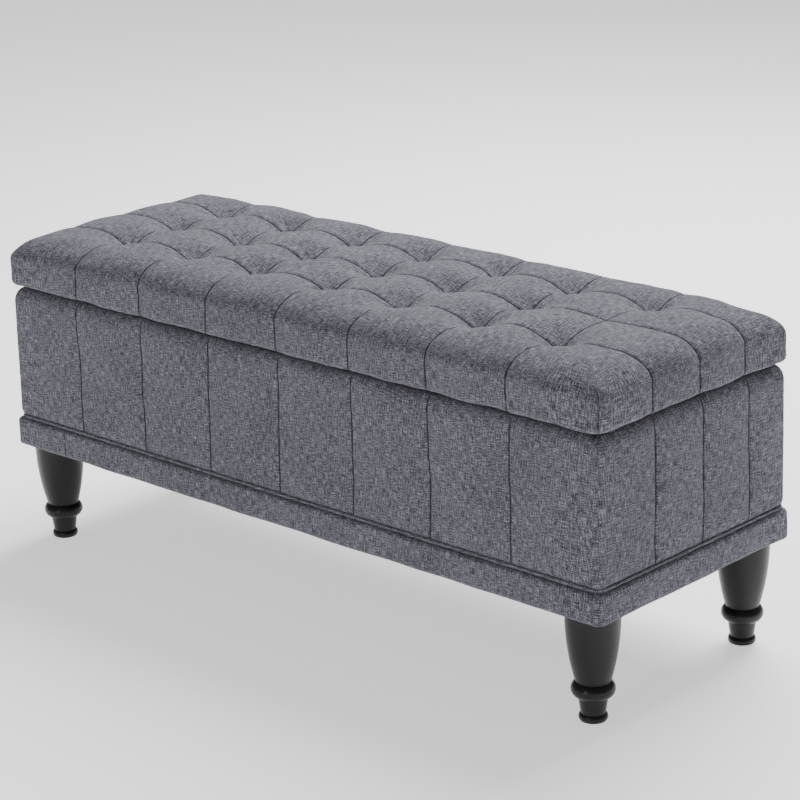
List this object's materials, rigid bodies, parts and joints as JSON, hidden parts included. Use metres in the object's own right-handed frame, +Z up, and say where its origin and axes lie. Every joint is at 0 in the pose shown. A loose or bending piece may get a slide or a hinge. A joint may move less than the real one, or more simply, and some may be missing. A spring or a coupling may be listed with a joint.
{
  "type": "storage bench",
  "caption": "Upholstered storage bench: padded box with seamed sides, hinged tufted lid on folding stays, banded base and turned legs.",
  "frame": {"origin": "on the floor under the middle of the bench", "axes": "+X along the length to the right seen from the front, +Y towards the hinged back, +Z up"},
  "size_m": [1.06, 0.38, 0.448],
  "materials": {
    "upholstery": "heathered blue-grey linen-look weave, matt",
    "foam": "open-cell foam",
    "board": "raw fibreboard",
    "timber": "raw planed softwood",
    "black_lacquer": "black satin-gloss lacquer on turned hardwood",
    "steel": "bright zinc plate",
    "plated_steel": "zinc-plated pressed steel",
    "lining_cloth": "black non-woven lining",
    "black_rubber": "matt black rubber",
    "black_plastic": "moulded nylon",
    "tie_cord": "waxed upholstery twine"
  },
  "bodies": {
    "box": {"front_pad": "foam", "back_pad": "foam", "right_end_pad": "foam", "left_end_pad": "foam", "front_panel": "board", "back_panel": "board", "right_end_panel": "board", "left_end_panel": "board", "front_base_rail": "timber", "back_base_rail": "timber", "right_base_rail": "timber", "left_base_rail": "timber", "cross_rail": "timber", "front_left_leg": "black_lacquer", "back_left_leg": "black_lacquer", "front_right_leg": "black_lacquer", "back_right_leg": "black_lacquer", "leg_hanger_bolts": "steel", "leg_tee_nuts": "steel", "foot_glides": "black_plastic", "corner_blocks": "timber", "dust_cover": "lining_cloth", "dust_cover_staples": "steel", "base_band_cover": "upholstery", "base_piping": "upholstery", "floor_board": "board", "box_lining": "lining_cloth", "box_cover": "upholstery", "carcass_screws": "steel", "lid_bumpers": "black_rubber", "right_hinge_box_leaf": "plated_steel", "left_hinge_box_leaf": "plated_steel", "right_hinge_pin": "steel", "left_hinge_pin": "steel", "hinge_box_screws": "steel", "right_stay_box_bracket": "plated_steel", "left_stay_box_bracket": "plated_steel", "stay_box_rivets": "steel", "stay_box_screws": "steel"},
    "lid": {"lid_board": "board", "lid_foam": "foam", "lid_cover": "upholstery", "lid_lining": "lining_cloth", "lid_lining_staples": "steel", "tuft_ties": "tie_cord", "right_hinge_lid_leaf": "plated_steel", "left_hinge_lid_leaf": "plated_steel", "hinge_lid_screws": "steel", "right_stay_lid_bracket": "plated_steel", "left_stay_lid_bracket": "plated_steel", "stay_lid_rivets": "steel", "stay_lid_screws": "steel"},
    "left_stay_lower": {"left_stay_lower_arm": "plated_steel"},
    "left_stay_upper": {"left_stay_upper_arm": "plated_steel", "left_stay_knee_rivet": "steel"},
    "right_stay_lower": {"right_stay_lower_arm": "plated_steel"},
    "right_stay_upper": {"right_stay_upper_arm": "plated_steel", "right_stay_knee_rivet": "steel"}
  },
  "joints": [
    {"name": "lid_hinge", "type": "hinge", "parent": "box", "child": "lid", "pos_m": [0, 0.1864, 0.374], "axis": [-1, 0, 0], "range_deg": [0, 90]},
    {"name": "left_stay_lower_pivot", "type": "hinge", "parent": "box", "child": "left_stay_lower", "pos_m": [-0.4977, 0.1064, 0.279], "axis": [-1, 0, 0], "range_deg": [0, 90]},
    {"name": "left_stay_upper_pivot", "type": "hinge", "parent": "lid", "child": "left_stay_upper", "pos_m": [-0.4954, 0.0364, 0.362], "axis": [-1, 0, 0], "range_deg": [-90, 0]},
    {"name": "right_stay_lower_pivot", "type": "hinge", "parent": "box", "child": "right_stay_lower", "pos_m": [0.4977, 0.1064, 0.279], "axis": [-1, 0, 0], "range_deg": [0, 90]},
    {"name": "right_stay_upper_pivot", "type": "hinge", "parent": "lid", "child": "right_stay_upper", "pos_m": [0.4954, 0.0364, 0.362], "axis": [-1, 0, 0], "range_deg": [-90, 0]}
  ],
  "couplings": [
    {"joint": "left_stay_lower_pivot", "follows": "lid_hinge", "ratio": 1},
    {"joint": "left_stay_upper_pivot", "follows": "lid_hinge", "ratio": -1},
    {"joint": "right_stay_lower_pivot", "follows": "lid_hinge", "ratio": 1},
    {"joint": "right_stay_upper_pivot", "follows": "lid_hinge", "ratio": -1}
  ]
}
